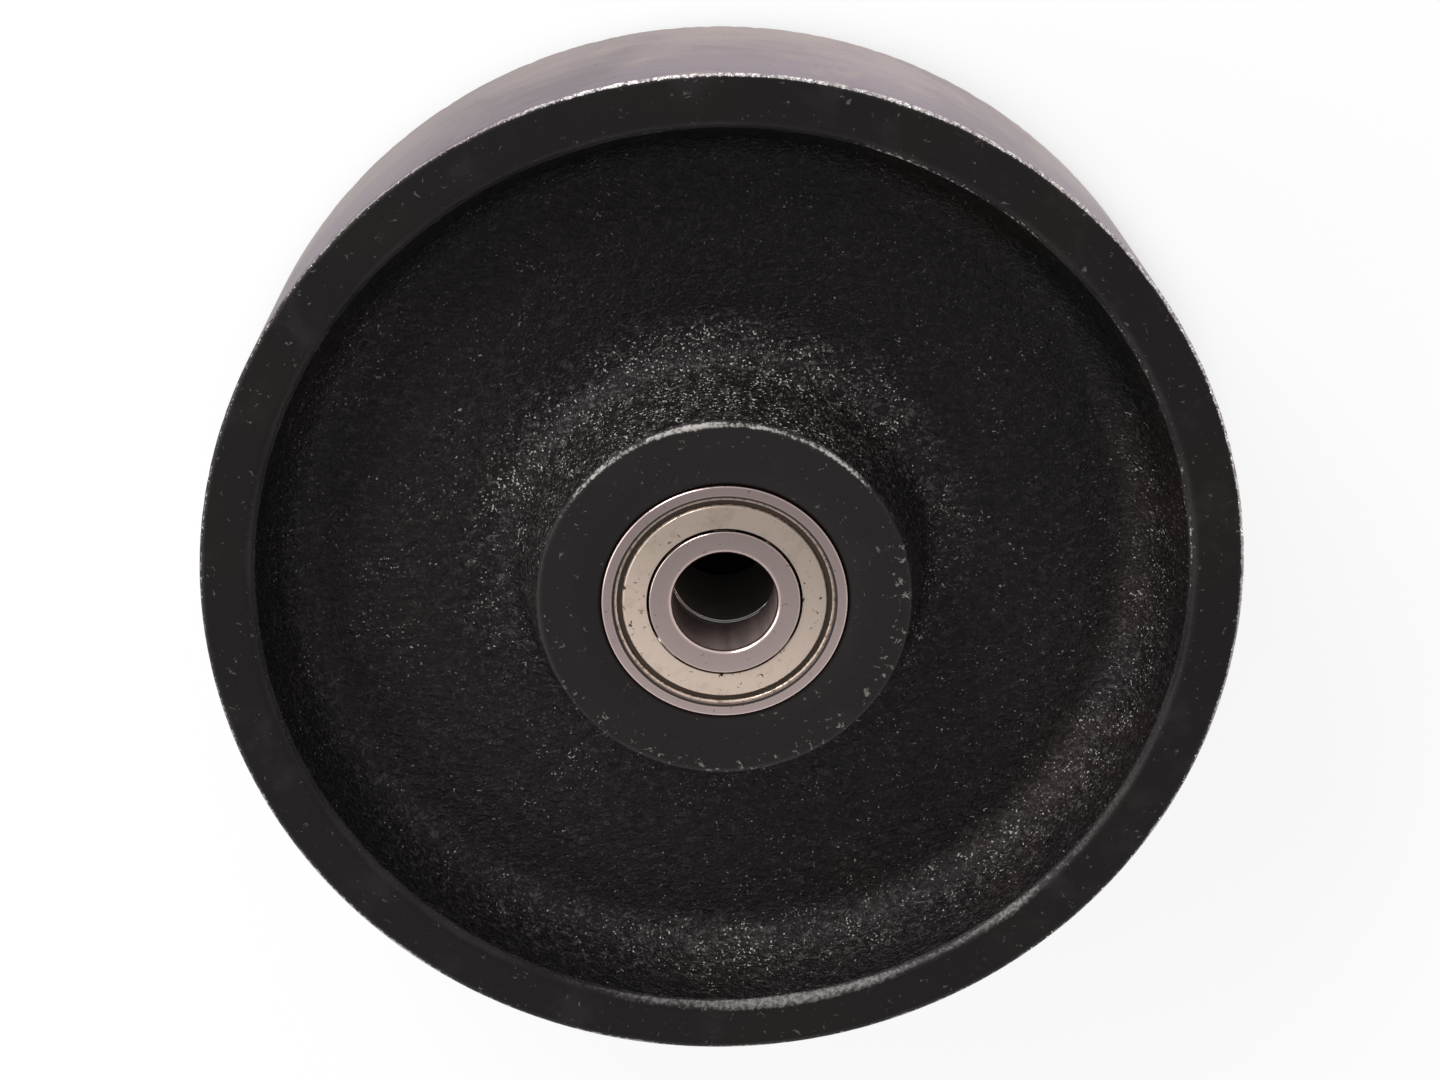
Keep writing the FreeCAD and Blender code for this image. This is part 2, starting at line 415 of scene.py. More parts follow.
def painted_iron(colours, groups):
    """Black paint over a sand-cast skin, worn to bright iron at the machined edges and off the tread."""
    material, tree, shader = new_material("black_painted_iron")
    skin = attribute(tree, "skin")
    edge = attribute(tree, "edge")
    place = object_place(tree)
    x, y, z = parts(place)
    radius = from_axis(x, y)

    def ring(start, end, to_low=0.0, to_high=1.0):
        return radius.ramp(start * MM, end * MM, to_low, to_high)

    def towards(x_share, y_share, low, high, to_low=0.0, to_high=1.0):
        return (x * x_share + y * y_share).ramp(low * MM, high * MM, to_low, to_high)

    # Where on the casting, by distance from the axis and by side
    on_hub = ring(37, 35)
    by_hub = ring(53, 47)
    by_rim = ring(76, 84)
    fillet_foot = ring(78.5, 82.5) * ring(89, 87)
    at_seat = radius.ramp(SEAT_RADIUS + 0.9 * MM, SEAT_RADIUS + 0.3 * MM)
    upper_side = towards(0.4, 1.0, -10, 75)
    top_right = towards(0.80, 0.60, 25, 80)
    bright_side = towards(1.2, 1.0, 10, 90)
    # Where the light falls on the lip's chamfer, the hub's cone and the rim's fillet foot: painted highlights
    # go there
    lip_light = towards(0.35, -0.94, 58, 87) * ring(95, 93)
    hub_light = by_hub * towards(-0.3, 1.0, -30, 40, 0.15, 1.0)
    foot_light = fillet_foot * towards(0.62, -0.78, -10, 78, 0.15, 0.62)
    lit = maths("MAXIMUM", hub_light, foot_light)
    hub_top = on_hub * towards(0.1, 1.0, 5, 28)
    hub_chips = ring(30, 34.5) * (on_hub * towards(0.6, -0.8, -14, 14))
    smooth = maths("SUBTRACT", 1.0, skin, clamp=True)

    ragged = noise(place, 1300.0, 3.0, 0.7)
    slow = noise(place, 42.0)
    # The grain's glints are painted highlights, most where the light falls on the hub's cone and the rim's
    # fillet
    grain = use_group(tree, groups["grain"], Lump_Size=1.25 * MM, Grit_Size=0.60 * MM, Specks=lit)
    wear = use_group(tree, groups["wear"], Edge=edge, Ragged_Size=0.8 * MM,
                     Reach=0.38 + hub_top * 0.27 + top_right * 0.15)
    marks = use_group(tree, groups["marks"], Pitch=0.30 * MM)
    grime = use_group(tree, groups["grime"], Blotch_Size=14 * MM, Cover=0.42, Nick_Size=1.5 * MM,
                      Nicks=0.30 + hub_chips * 0.55)
    # Bare iron on the tread, and on its chamfer only towards the top where the light falls: real wear with a
    # painted highlight
    fray_and_lit_side = about(ragged, 0.5, 1.1) + about(upper_side, 1.0, 2.9)
    machined = (attribute(tree, "bare") + fray_and_lit_side).ramp(0.72, 0.86)

    # Paint: its base, dust and rust, the skin's relief with painted highlights on the lump tops and glints
    # and painted shade in the pits, and painted shadow and shade on the upper web and the rim's inner wall
    paint = blend(grain["Patches"].ramp(0.35, 0.75, 0.0, 0.6), colours.paint, (0.0095, 0.0076, 0.0064))
    faced = blend(on_hub * smooth, paint, (0.0125, 0.0108, 0.0108))
    dusted = blend(grime["Blotches"] * (smooth * 0.55), faced, (0.0165, 0.0128, 0.0136))
    rusty = by_rim * skin * (slow.ramp(0.48, 0.62, 0.0, 0.5) * towards(1.0, 0.1, 20, 75))
    tinged = blend(rusty, dusted, (0.0210, 0.0130, 0.0085))
    # Lump tops lighter and pits darker: painted highlight, strongest where the light falls, and painted shade
    crest_highlight = grain["Height"].ramp(0.50, 0.68, 0.0, 0.7) * skin
    crest_tone = blend(lit, (0.034, 0.030, 0.029), (0.110, 0.098, 0.092))
    pit = grain["Height"].ramp(0.48, 0.36, 0.0, 0.8) * skin
    pit_shaded = blend(pit, blend(crest_highlight, tinged, crest_tone), (0.0015, 0.0012, 0.0012))
    # Bright specks on the skin: painted glints, lighter where the light falls
    glint_tone = blend(lit, (0.27, 0.255, 0.235), (0.40, 0.375, 0.345))
    glinted = blend(grain["Specks"] * skin, pit_shaded, glint_tone)
    # The upper web in the rim's shadow and the rim's inner wall are darkened: painted shadow and painted
    # shade
    rim_shadow = upper_side * skin * (1.0 - by_hub)
    wall = ring(87, 89.5) * skin
    shaded = brightened(glinted, 1.10 - maths("MAXIMUM", rim_shadow * 0.62, wall * 0.45))

    # Paint that is rubbed thin, with a painted highlight on the lip's chamfer towards -Y and +X, its spots,
    # and the grease around the bearing's seat
    thin_level = edge + (about(slow, 0.5, 1.2) + about(ragged, 0.5, 0.6))
    # Thin paint along the edges, and on the lip's chamfer a painted highlight
    thin_and_lit = thin_level.ramp(0.25, 0.70) * (0.12 + lip_light * 0.80)
    lip_highlight_tone = blend(ragged.ramp(0.42, 0.60), (0.085, 0.080, 0.077), (0.190, 0.180, 0.172))
    rubbed_and_highlighted = blend(thin_and_lit, shaded, blend(lip_light, (0.098, 0.093, 0.090), lip_highlight_tone))
    near_edge = ring(28, 35, 0.25, 1.0) * on_hub
    spots = grime["Nicks"] * (maths("MAXIMUM", near_edge, 0.45) * smooth)
    spotted = blend(spots, rubbed_and_highlighted, (0.15, 0.14, 0.125))
    seated = blend(at_seat, spotted, (0.0050, 0.0028, 0.0020))

    # Bare iron of the tread, with painted reflection: lighter towards its rear edge and towards +X, darker
    # towards -X
    tread = blend(z.ramp(-24 * MM, 24 * MM), (0.36, 0.305, 0.290), colours.iron)
    cloud = noise(place, 30.0, 4.0, 0.6, 0.4).ramp(0.40, 0.68, 0.0, 0.55)
    clouded = blend(cloud, tread, (0.16, 0.134, 0.150))
    warm = blend(grime["Blotches"] * 0.40, clouded, (0.42, 0.345, 0.275))
    # Darker towards -X and lighter towards +X: painted reflection
    side_shaded = brightened(warm, towards(1.0, 0.0, -60, 60, 0.68, 1.25))
    scratched = blend(marks["Height"].ramp(0.60, 0.72, 0.0, 0.35), side_shaded, (0.42, 0.38, 0.385))
    nicked = blend(grime["Nicks"] * 0.6, scratched, colours.grime)
    # White grit along the tread's edges, mostly towards +X and +Y where the light falls: real broken edge
    # with a painted highlight
    gritty = edge.ramp(0.30, 0.80) * ragged.ramp(0.42, 0.62)
    broken = gritty * (bright_side + about(slow, 0.5, 1.6)).ramp(0.2, 0.9)
    iron = blend(broken, nicked, (0.80, 0.77, 0.75))

    chipped = blend(wear["Bare"], seated, (0.36, 0.34, 0.32))
    paint_gloss = between(skin, grime["Blotches"].ramp(0.0, 1.0, 0.36, 0.52),
                          grain["Height"].ramp(0.3, 0.7, 0.42, 0.28))
    iron_gloss = marks["Tint"].ramp(0.0, 1.0, 0.34, 0.46)
    feed(shader, {"Base Color": blend(machined, chipped, iron), "Metallic": machined * 0.55,
                  "Roughness": between(machined, paint_gloss, iron_gloss),
                  "Specular IOR Level": 0.26, "Specular Tint": (0.62, 0.565, 0.60, 1.0)})
    relief = grain["Height"] * skin + marks["Height"] * (smooth * 0.012)
    bump(shader, relief + about(ragged, 0.5, 1.0) * (edge * 0.35), 1.0, 0.75 * MM)
    return material


def oiled_sleeve(groups):
    """Turned steel black with old oil, with a painted highlight along the edge of its bore."""
    material, tree, shader = new_material("oiled_sleeve_steel")
    marks = use_group(tree, groups["marks"], Pitch=0.35 * MM)
    film = blend(marks["Tint"], (0.115, 0.106, 0.094), (0.160, 0.146, 0.126))
    # A near-white line along the bore's edge: painted highlight
    line = attribute(tree, "edge").ramp(0.2, 0.8)
    feed(shader, {"Base Color": blend(line, film, (0.98, 0.98, 0.96)), "Metallic": line,
                  "Roughness": line.ramp(0.0, 1.0, 0.42, 0.14), "Specular IOR Level": 0.2})
    bump(shader, marks["Height"], 0.3, 0.01 * MM)
    return material


def ground_steel(name, colour, groups, pitch, gloss, nicks):
    """Ground or turned steel with faint rings, a scoured bore, and painted shade towards +Y and on the bore's
    -X side; where it is marked it is dark, with old grease at the outer ring's edge and painted shade deep in
    the rear inner ring.
    """
    material, tree, shader = new_material(name)
    marks = use_group(tree, groups["marks"], Pitch=pitch)
    grime = use_group(tree, groups["grime"], Blotch_Size=5 * MM, Cover=0.38, Nick_Size=1.0 * MM, Nicks=nicks)
    scoured = attribute(tree, "bare")
    grease_and_shade = attribute(tree, "edge")
    place = object_place(tree)
    across, height = parts(place)[:2]
    drawn = field(tree, "ShaderNodeMapping", {"Vector": place, "Scale": (1.0, 1.0, 0.10)})
    streaks = noise(drawn, 230.0).ramp(0.38, 0.64, 0.0, 0.5)
    tinted = blend(marks["Tint"] * 0.14, colour, [0.75 * channel for channel in colour[:3]])
    dulled = blend(grime["Blotches"] * 0.22, tinted, (0.30, 0.24, 0.21))
    nicked = blend(grime["Nicks"], dulled, (0.06, 0.042, 0.035))
    # The bore darker towards -X: painted shade
    shaded_bore_side = across.ramp(2 * MM, -9 * MM, 0.0, 0.60)
    streaked = blend(maths("MAXIMUM", streaks, shaded_bore_side) * scoured, nicked, (0.13, 0.095, 0.09))
    # Darker towards +Y: painted shade
    side_shaded = brightened(streaked, height.ramp(-22 * MM, 20 * MM, 1.10, 0.76))
    covered = maths("MAXIMUM", grease_and_shade, grime["Nicks"] * 0.7)
    dulling = maths("MAXIMUM", scoured * 0.32, maths("MULTIPLY", grease_and_shade, 0.9, clamp=True))
    smooth_gloss = marks["Tint"].ramp(0.0, 1.0, gloss, gloss + 0.06)
    feed(shader, {"Base Color": blend(grease_and_shade, side_shaded, (0.018, 0.014, 0.012)), "Metallic": 1.0 - covered,
                  "Roughness": maths("ADD", smooth_gloss, dulling, clamp=True)})
    bump(shader, marks["Height"], 0.3, 0.006 * MM)
    return material


def plated_shield(colours, groups):
    """Cream plated sheet, with brown grime in its channel and on its bead, and painted shade towards +Y and
    +X.
    """
    material, tree, shader = new_material("plated_shield_sheet")
    marks = use_group(tree, groups["marks"], Pitch=0.5 * MM)
    grime = use_group(tree, groups["grime"], Blotch_Size=5.0 * MM, Cover=0.44, Nick_Size=1.3 * MM, Nicks=0.40)
    place = object_place(tree)
    x, y, _ = parts(place)
    ragged = noise(place, 1100.0, 3.0, 0.68)
    dirt = (attribute(tree, "edge") + ragged * 1.2).ramp(0.92, 1.30)
    clean = blend(grime["Blotches"] * 0.55, colours.shield, (0.44, 0.35, 0.265))
    # Darker towards +Y and +X: painted shade
    side_shaded = brightened(clean, (y + x * 0.35).ramp(-20 * MM, 20 * MM, 1.12, 0.66))
    feed(shader, {"Base Color": blend(maths("MAXIMUM", dirt, grime["Nicks"]), side_shaded, colours.grime),
                  "Metallic": dirt.ramp(0.0, 1.0, 0.60, 0.10),
                  "Roughness": grime["Blotches"].ramp(0.0, 1.0, 0.29, 0.42)})
    bump(shader, marks["Height"] * 0.3 + ragged, 0.4, 0.02 * MM)
    return material


def broken_iron(groups):
    """Fresh grey iron of the crumbs along an edge, darker towards -X as painted shade."""
    material, tree, shader = new_material("broken_iron_crumbs")
    grime = use_group(tree, groups["grime"], Blotch_Size=1.2 * MM, Cover=0.5, Nick_Size=0.5 * MM, Nicks=0.4)
    across = parts(object_place(tree))[0]
    base = blend(grime["Blotches"], (0.78, 0.75, 0.73), (0.22, 0.20, 0.19))
    # Darker towards -X: painted shade
    feed(shader, {"Base Color": brightened(base, across.ramp(-70 * MM, 5 * MM, 0.35, 1.0)),
                  "Roughness": grime["Blotches"].ramp(0.0, 1.0, 0.26, 0.45), "Metallic": 0.8})
    return material


def polished_ball(groups):
    """Polished ball steel under a thin film of grease."""
    material, tree, shader = new_material("polished_ball_steel")
    grime = use_group(tree, groups["grime"], Blotch_Size=2.5 * MM, Cover=0.45, Nick_Size=1 * MM, Nicks=0.0)
    film = grime["Blotches"]
    feed(shader, {"Base Color": blend(film * 0.25, (0.74, 0.74, 0.76), (0.55, 0.47, 0.32)),
                  "Roughness": film.ramp(0.0, 1.0, 0.07, 0.16), "Metallic": 1.0})
    return material


MATERIALS = {}


def make_materials():
    """Builds the shared effects and every finish once."""
    if MATERIALS:
        return
    colours = bpy.context.scene.wheel_colours
    groups = {"grain": cast_grain_group(), "wear": worn_edge_group(),
              "marks": turned_marks_group(), "grime": grime_group()}
    MATERIALS["painted_iron"] = painted_iron(colours, groups)
    MATERIALS["bearing_steel"] = ground_steel(
        "ground_ring_steel", colours.steel, groups, pitch=0.16 * MM, gloss=0.20, nicks=0.30)
    MATERIALS["turned_steel"] = oiled_sleeve(groups)
    MATERIALS["cage_sheet"] = ground_steel(
        "pressed_cage_steel", (0.42, 0.40, 0.36), groups, pitch=0.6 * MM, gloss=0.30, nicks=0.1)
    MATERIALS["crumbs"] = broken_iron(groups)
    MATERIALS["shield_sheet"] = plated_shield(colours, groups)
    MATERIALS["ball_steel"] = polished_ball(groups)


# ---------------------------------------------------------------- turned pieces

Corner = namedtuple("Corner", "radius height round skin bare edge", defaults=(0.0, 0.0, 0.0, 0.0))
Row = namedtuple("Row", "radius height skin bare edge")
MARKS = ("skin", "bare", "edge")


def corner_arc(before, corner, after):
    """Points of a corner, which is a tangent arc if it is rounded."""
    middle = Vector((corner.radius, corner.height))
    if not corner.round:
        return [middle]
    back = (Vector((before.radius, before.height)) - middle).normalized()
    ahead = (Vector((after.radius, after.height)) - middle).normalized()
    half = back.angle(ahead) / 2
    reach = corner.round / math.tan(half)
    centre = middle + (back + ahead).normalized() * (corner.round / math.sin(half))
    start = middle + back * reach - centre
    sweep = start.angle_signed(middle + ahead * reach - centre)
    by_angle = math.ceil(abs(sweep) / math.radians(14))
    by_length = math.ceil(abs(sweep) * corner.round / (1.1 * MM))
    steps = max(3, by_angle, by_length)
    return [centre + Matrix.Rotation(-sweep * step / steps, 2) @ start for step in range(steps + 1)]


def outline_rows(corners, skin_step, flat_step, margin=0.0):
    """Rows of a closed outline: the corners, their arcs and even points on the runs between them."""
    count = len(corners)
    arcs = [corner_arc(corners[i - 1], corners[i], corners[(i + 1) % count]) for i in range(count)]
    rows = []
    for index, corner in enumerate(corners):
        before, after = corners[index - 1], corners[(index + 1) % count]
        arc = arcs[index]
        skin = min(before.skin, corner.skin)
        bare = max(before.bare, corner.bare) if corner.edge else min(before.bare, corner.bare)
        rows += [Row(point.x, point.y, skin, bare, corner.edge) for point in arc]
        start, end = arc[-1], arcs[(index + 1) % count][0]
        length = (end - start).length
        steps = max(1, round(length / (skin_step if corner.skin else flat_step)))
        shares = [step / steps for step in range(1, steps)]
        if margin and (corner.edge or after.edge) and length > 3 * margin:
            shares += [margin / length] * bool(corner.edge) + [1 - margin / length] * bool(after.edge)
        for share in sorted(shares):
            point = start.lerp(end, share)
            rows.append(Row(point.x, point.y, corner.skin, corner.bare, 0.0))
    return rows


def both_sides(upper):
    """Corners of the upper half of an outline, then the same ones mirrored below."""
    lower = []
    for index in reversed(range(len(upper))):
        corner = upper[index]
        run = upper[index - 1] if index else Corner(0, 0)
        lower.append(corner._replace(height=-corner.height, skin=run.skin, bare=run.bare))
    return upper + lower


def scaled(vector, amount):
    """A vector field times a value."""
    return field(vector.tree, "ShaderNodeVectorMath", {0: vector, "Scale": amount}, operation="SCALE")


def turned_tree():
    """Sweeps an outline's points once around Z, then raises the cast skin and frays the edges."""
    tree, given, made = new_group(
        "Turned Piece", "GeometryNodeTree",
        {"Outline": "Geometry", "Steps Around": "Int", "Skin Depth": "Float", "Burr Depth": "Float",
         "Material": "Material"}, ("Piece",), "Geometry")
    outline, around = given["Outline"], given["Steps Around"]
    points = field(tree, "GeometryNodeAttributeDomainSize", {"Geometry": outline}, "Point Count")
    rows = points + 1
    index = field(tree, "GeometryNodeInputIndex")
    column = maths("FLOOR", (index + 0.5) / rows)
    row = maths("MODULO", index - column * rows, points)
    angle = column / around * TURN

    def named(name):
        return field(tree, "GeometryNodeInputNamedAttribute", {"Name": name}, data_type="FLOAT")

    def sampled(source, kind):
        inputs = {"Geometry": outline, "Value": source, "Index": row + 0.25}
        return field(tree, "GeometryNodeSampleIndex", inputs, data_type=kind, domain="POINT")

    radius, _, height = parts(sampled(field(tree, "GeometryNodeInputPosition"), "FLOAT_VECTOR"))
    swept = joined(tree, X=radius * maths("COSINE", angle), Y=radius * maths("SINE", angle), Z=height)
    shape = field(tree, "GeometryNodeMeshGrid", {"Vertices X": around + 1, "Vertices Y": rows})
    for name in MARKS:
        shape = field(tree, "GeometryNodeStoreNamedAttribute",
                      {"Geometry": shape, "Name": name, "Value": sampled(named(name), "FLOAT")},
                      data_type="FLOAT", domain="POINT")
    shape = field(tree, "GeometryNodeSetPosition", {"Geometry": shape, "Position": swept})
    shape = field(tree, "GeometryNodeMergeByDistance", {"Geometry": shape, "Distance": 0.001 * MM})
    shape = field(tree, "GeometryNodeFlipFaces", {"Mesh": shape})

    here = field(tree, "GeometryNodeInputPosition")
    normal = field(tree, "GeometryNodeInputNormal")
    lift = about(noise(here, 360.0, 2.0, 0.55), 0.5, 1.7) + about(noise(here, 60.0, 1.0), 0.5, 1.3)
    raised = scaled(normal, lift * given["Skin Depth"] * named("skin"))
    side = parts(here)[1].ramp(-30 * MM, 40 * MM, 0.2, 1.0)
    ragged = noise(here, 900.0, 3.0, 0.7).ramp(0.45, 0.75) * side
    frayed = scaled(normal, ragged * named("edge") * (given["Burr Depth"] * -1.0))
    offset = field(tree, "ShaderNodeVectorMath", {0: raised, 1: frayed}, operation="ADD")
    shape = field(tree, "GeometryNodeSetPosition", {"Geometry": shape, "Offset": offset})
    shape = field(tree, "GeometryNodeSetShadeSmooth", {"Geometry": shape})
    shape = field(tree, "GeometryNodeSetMaterial", {"Geometry": shape, "Material": given["Material"]})
    feed(made, {0: field(tree, "GeometryNodeRealizeInstances", {"Geometry": shape})})
    return tree


def set_input(modifier, label, value):
    """Sets a geometry modifier's input by the identifier of its socket."""
    for item in modifier.node_group.interface.items_tree:
        if item.item_type == "SOCKET" and item.in_out == "INPUT" and item.name == label:
            modifier[item.identifier] = value
            return
    raise ValueError(f"{modifier.node_group.name} has no input named {label}")


def tree_named(name, build):
    """A node group, built the first time that it is asked for."""
    return bpy.data.node_groups.get(name) or build()


def new_object(name, mesh):
    """An object in the scene for a mesh."""
    piece = bpy.data.objects.new(name, mesh)
    bpy.context.scene.collection.objects.link(piece)
    return piece


def grown(name, seed_mesh, tree, values):
    """A plain mesh object that a geometry tree makes from a seed mesh."""
    seed = new_object(name + "_seed", seed_mesh)
    modifier = seed.modifiers.new("Shape", "NODES")
    modifier.node_group = tree
    for label, value in values.items():
        set_input(modifier, label, value)
    depsgraph = bpy.context.evaluated_depsgraph_get()
    mesh = bpy.data.meshes.new_from_object(seed.evaluated_get(depsgraph), depsgraph=depsgraph)
    seed.modifiers.remove(modifier)
    bpy.data.objects.remove(seed)
    mesh.name = name
    return new_object(name, mesh)


def face_outwards(mesh, sharp_angle):
    """Points every face outwards, and marks the edges that turn more than an angle as sharp."""
    work = bmesh.new()
    work.from_mesh(mesh)
    bmesh.ops.recalc_face_normals(work, faces=work.faces)
    if work.calc_volume(signed=True) < 0:
        bmesh.ops.reverse_faces(work, faces=work.faces)
    work.to_mesh(mesh)
    work.free()
    mesh.set_sharp_from_angle(angle=sharp_angle)


def turned(name, rows, around, slot, body, node, skin_depth=0.0, burr_depth=0.0, sharp=35, move=None):
    """A turned piece from its outline rows, in place of a node and riding on a body."""
    seed = bpy.data.meshes.new(name + "_outline")
    seed.from_pydata([(row.radius, 0.0, row.height) for row in rows], [], [])
    for label in MARKS:
        layer = seed.attributes.new(label, "FLOAT", "POINT")
        layer.data.foreach_set("value", [getattr(row, label) for row in rows])
    make_materials()
    piece = grown(name, seed, tree_named("Turned Piece", turned_tree),
                  {"Steps Around": around, "Skin Depth": skin_depth, "Burr Depth": burr_depth,
                   "Material": MATERIALS[slot]})
    if move:
        piece.data.transform(move)
    face_outwards(piece.data, math.radians(sharp))
    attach(piece, body)
    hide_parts(node)


def end_for_end(rows, side):
    """Rows at the front bearing's height, or turned over to the rear bearing's."""
    sign = 1 if side == "front" else -1
    return [row._replace(height=sign * (row.height + BEARING_MIDDLE)) for row in rows]


class WHEEL_OT_casting(bpy.types.Operator):
    """Build the casting: tread, rim, web and hub"""

    bl_idname = "wheel.casting"
    bl_label = "Casting"

    def execute(self, context):
        sizes = context.scene.wheel_sizes
        rim_top = sizes.tread_width / 2
        web_top = sizes.web_thickness / 2
        rim_inner = TREAD_RADIUS - sizes.rim_thickness
        hub_radius = SEAT_RADIUS + sizes.hub_wall
        lip, chamfer, mouth, shoulder = 1.1 * MM, 0.3 * MM, 0.5 * MM, 3.5 * MM
        hub_fillet, rim_fillet, hub_draft, rim_draft = 7 * MM, 9.5 * MM, 0.19, 0.3
        upper = [
            Corner(SEAT_RADIUS - shoulder, BEARING_BOTTOM),
            Corner(SEAT_RADIUS, BEARING_BOTTOM),
            Corner(SEAT_RADIUS, HUB_TOP - mouth),
            Corner(SEAT_RADIUS + mouth, HUB_TOP),
            Corner(hub_radius, HUB_TOP, 0.6 * MM, skin=1, edge=0.60),
            Corner(hub_radius + hub_draft * (HUB_TOP - web_top), web_top, hub_fillet, skin=1),
            Corner(rim_inner - rim_draft * (rim_top - lip - web_top), web_top, rim_fillet, skin=1),
            Corner(rim_inner, rim_top - lip, edge=0.60),
            Corner(rim_inner + lip, rim_top, edge=0.30),
            Corner(TREAD_RADIUS - chamfer, rim_top, bare=1, edge=0.9),
            Corner(TREAD_RADIUS, rim_top - chamfer, bare=4, edge=0.7),
        ]
        rows = outline_rows(both_sides(upper), skin_step=1.05 * MM, flat_step=6 * MM, margin=0.9 * MM)
        turned("wheel_casting_finished", rows, sizes.around, "painted_iron", "wheel", "wheel_casting",
               skin_depth=sizes.skin_depth, burr_depth=sizes.burr_depth, sharp=50)
        return {"FINISHED"}


def edge_crumbs_tree():
    """Small broken crumbs of iron scattered along a round edge, thickest on one side of it."""
    tree, given, made = new_group(
        "Edge Crumbs", "GeometryNodeTree",
        {"Seed Mesh": "Geometry", "Count": "Int", "Edge Radius": "Float", "Face Height": "Float",
         "Crumb Size": "Float", "Thickest At": "Float", "Seed": "Int", "Material": "Material"},
        ("Crumbs",), "Geometry")

    def chance(low, high, offset):
        return field(tree, "FunctionNodeRandomValue", {"Seed": given["Seed"] + offset, 2: low, 3: high}, 1,
                     data_type="FLOAT")

    spread = chance(-1.0, 1.0, 0)
    angle = spread * maths("ABSOLUTE", spread) * math.radians(115) + given["Thickest At"]
    radius = given["Edge Radius"] + chance(-0.55 * MM, -0.20 * MM, 1)
    inward = maths("SIGN", given["Face Height"]) * -1.0
    height = given["Face Height"] + inward * chance(0.0, 0.32 * MM, 2)
    place = joined(tree, X=radius * maths("COSINE", angle), Y=radius * maths("SINE", angle), Z=height)
    points = field(tree, "GeometryNodePoints", {"Count": given["Count"], "Position": place})
    crumb = field(tree, "GeometryNodeMeshIcoSphere", {"Radius": 1.0, "Subdivisions": 1})
    size = given["Crumb Size"]
    scale = joined(tree, X=size * chance(0.4, 1.0, 3), Y=size * chance(0.4, 1.6, 4),
                   Z=size * chance(0.3, 0.8, 5))
    turn = joined(tree, X=chance(-0.5, 0.5, 6), Z=angle)
    copies = {"Points": points, "Instance": crumb, "Scale": scale, "Rotation": turn}
    feed(made, {0: real_copies(tree, copies, given["Material"])})
    return tree


def real_copies(tree, inputs, material):
    """Copies of a shape set on points, made real and given their material."""
    copies = field(tree, "GeometryNodeInstanceOnPoints", inputs)
    shape = field(tree, "GeometryNodeRealizeInstances", {"Geometry": copies})
    return field(tree, "GeometryNodeSetMaterial", {"Geometry": shape, "Material": material})


class WHEEL_OT_edge_crumbs(bpy.types.Operator):
    """Scatter broken crumbs of iron along the tread's two edges"""

    bl_idname = "wheel.edge_crumbs"
    bl_label = "Edge crumbs"

    def execute(self, context):
        sizes = context.scene.wheel_sizes
        make_materials()
        for side, sign, seed in (("front", 1, 3), ("rear", -1, 40)):
            crumbs = grown(f"{side}_tread_edge_crumbs", bpy.data.meshes.new(side),
                           tree_named("Edge Crumbs", edge_crumbs_tree),
                           {"Count": sizes.crumb_count, "Edge Radius": TREAD_RADIUS,
                            "Face Height": sign * sizes.tread_width / 2, "Crumb Size": sizes.crumb_size,
                            "Thickest At": math.radians(62), "Seed": seed, "Material": MATERIALS["crumbs"]})
            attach(crumbs, "wheel")
        return {"FINISHED"}


class WHEEL_OT_rings(bpy.types.Operator):
    """Build the ground inner and outer rings of both bearings"""

    bl_idname = "wheel.rings"
    bl_label = "Bearing rings"

    def execute(self, context):
        groove = RACE_CONFORMITY * BALL_RADIUS
        undercut = 0.25 * MM
        seat = SHIELD_RADIUS - undercut
        inner = both_sides([
            Corner(AXLE_RADIUS, BEARING_HALF, 1.0 * MM),
            Corner(INNER_SHOULDER, BEARING_HALF, 0.3 * MM)])
        outer = both_sides([
            Corner(OUTER_SHOULDER, SHIELD_STEP),
            Corner(SHIELD_RADIUS, SHIELD_STEP),
            Corner(SHIELD_RADIUS, SHIELD_STEP + 0.8 * MM),
            Corner(seat, SHIELD_STEP + 1.05 * MM),
            Corner(seat, BEARING_HALF, 0.3 * MM, edge=1),
            Corner(SEAT_RADIUS, BEARING_HALF, 0.5 * MM)])
        inner_rows = with_groove(outline_rows(inner, MM, 4 * MM), INNER_SHOULDER,
                                 PITCH_RADIUS - BALL_RADIUS - RACE_GAP + groove, groove)
        outer_rows = with_groove(outline_rows(outer, MM, 4 * MM, margin=0.33 * MM), OUTER_SHOULDER,
                                 PITCH_RADIUS + BALL_RADIUS + RACE_GAP - groove, groove)
        bore = min(row.radius for row in inner_rows) + 0.01 * MM
        inner_rows = [row._replace(bare=float(row.radius < bore)) for row in inner_rows]
        for side in SIDES:
            if side == "rear":
                # Deep in the rear inner ring, painted shade darkens the inboard end and most of the bore
                inner_rows = [row._replace(edge=float(in_the_dark(row, bore))) for row in inner_rows]
            turned(f"{side}_inner_ring_ground", end_for_end(inner_rows, side), INNER_RING_STEPS,
                   "bearing_steel", "axle_sleeve", f"{side}_inner_ring")
            turned(f"{side}_outer_ring_ground", end_for_end(outer_rows, side), OUTER_RING_STEPS,
                   "bearing_steel", "wheel", f"{side}_outer_ring")
        return {"FINISHED"}


def in_the_dark(row, bore):
    """Whether painted shade darkens a row of the rear inner ring, deep in the bore: its inboard end and most
    of its bore.
    """
    at_end = row.height < -0.5 * BEARING_HALF
    return at_end or (row.radius < bore and row.height < 0.75 * BEARING_HALF)


